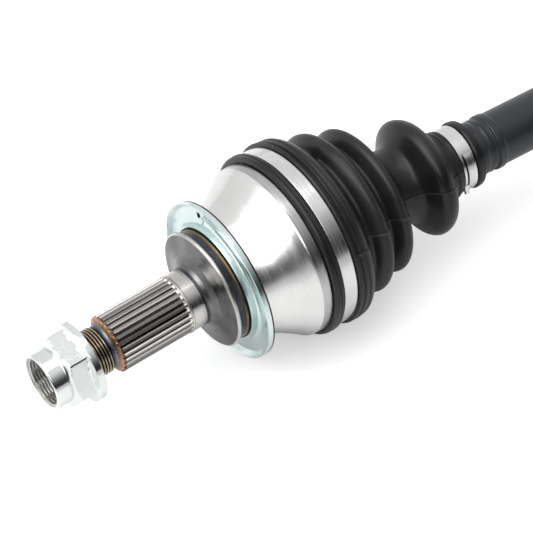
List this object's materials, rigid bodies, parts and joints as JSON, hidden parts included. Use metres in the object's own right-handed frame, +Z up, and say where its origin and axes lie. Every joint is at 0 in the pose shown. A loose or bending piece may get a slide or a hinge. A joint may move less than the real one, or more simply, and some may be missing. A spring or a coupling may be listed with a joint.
{
  "type": "cv axle",
  "caption": "Car drive axle: outer ball joint with stub shaft, splines, dust shield and hub nut, a rubber-booted half shaft, and an inner tripod joint.",
  "frame": {"origin": "under the middle of the axle's box, on the surface that the two boot collars lie on", "axes": "+X along the half shaft from the wheel end (hub nut, -X) to the differential end (+X), +Z up"},
  "size_m": [0.6728, 0.1008, 0.0988],
  "materials": {
    "turned_steel": "finely turned bright steel with circumferential tool marks, dark forged skin on the stub",
    "zinc_plate": "satin zinc plating with a faint green-blue tint",
    "clamp_steel": "plain stainless band",
    "bearing_steel": "polished hardened bearing steel",
    "spring_steel": "dark oiled spring steel",
    "forged_steel": "phosphated forged steel",
    "painted_steel": "blue-black satin paint",
    "boot_rubber": "black satin moulded rubber"
  },
  "bodies": {
    "shaft": {"axle_shaft": "painted_steel", "outer_inner_race": "bearing_steel", "outer_race_circlip": "spring_steel", "outer_boot_small_clamp": "clamp_steel", "inner_boot_small_clamp": "clamp_steel", "tripod_spider": "forged_steel", "spider_circlip": "spring_steel", "needle_bearing_1": "bearing_steel", "needle_bearing_2": "bearing_steel", "needle_bearing_3": "bearing_steel", "roller_clip_1": "spring_steel", "roller_clip_2": "spring_steel", "roller_clip_3": "spring_steel"},
    "outer_housing": {"outer_joint_housing": "turned_steel", "dust_shield": "zinc_plate", "outer_boot_large_clamp": "clamp_steel", "outer_boot": "boot_rubber"},
    "hub_nut": {"hub_nut": "zinc_plate"},
    "ball_cage": {"outer_cage": "forged_steel", "outer_ball_1": "bearing_steel", "outer_ball_2": "bearing_steel", "outer_ball_3": "bearing_steel", "outer_ball_4": "bearing_steel", "outer_ball_5": "bearing_steel", "outer_ball_6": "bearing_steel"},
    "roller_1": {"tripod_roller_1": "bearing_steel"},
    "roller_2": {"tripod_roller_2": "bearing_steel"},
    "roller_3": {"tripod_roller_3": "bearing_steel"},
    "inner_boot": {"inner_boot": "boot_rubber"},
    "inner_housing": {"inner_joint_housing": "forged_steel", "inner_boot_large_clamp": "clamp_steel", "inner_stub_circlip": "spring_steel"}
  },
  "joints": [
    {"name": "outer_bend", "type": "hinge", "parent": "shaft", "child": "outer_housing", "pos_m": [-0.21357, -0.00102, 0.0494], "axis": [0, 0, 1], "range_deg": [-43.6, 36.4], "deforming": ["outer_boot"]},
    {"name": "cage_bend", "type": "hinge", "parent": "shaft", "child": "ball_cage", "pos_m": [-0.21357, -0.00102, 0.0494], "axis": [0, 0, 1], "range_deg": [-21.8, 18.2]},
    {"name": "nut_spin", "type": "hinge", "parent": "outer_housing", "child": "hub_nut", "pos_m": [-0.32406, -0.00797, 0.0494], "axis": [0.998, 0.0628, 0], "continuous": true},
    {"name": "inner_bend", "type": "hinge", "parent": "shaft", "child": "inner_boot", "pos_m": [0.18643, -0.00102, 0.0494], "axis": [0, 0, 1], "range_deg": [-18, 18], "deforming": ["inner_boot"]},
    {"name": "inner_plunge", "type": "slide", "parent": "inner_boot", "child": "inner_housing", "axis": [1, 0, 0], "range_m": [-0.012, 0.012], "deforming": ["inner_boot"]},
    {"name": "roller_spin_1", "type": "hinge", "parent": "shaft", "child": "roller_1", "pos_m": [0.18643, -0.00102, 0.0804], "axis": [0, 0, 1], "continuous": true},
    {"name": "roller_spin_2", "type": "hinge", "parent": "shaft", "child": "roller_2", "pos_m": [0.18643, -0.02787, 0.0339], "axis": [0, -0.866, -0.5], "continuous": true},
    {"name": "roller_spin_3", "type": "hinge", "parent": "shaft", "child": "roller_3", "pos_m": [0.18643, 0.02583, 0.0339], "axis": [0, 0.866, -0.5], "continuous": true}
  ],
  "couplings": [
    {"joint": "cage_bend", "follows": "outer_bend", "ratio": 0.5}
  ]
}
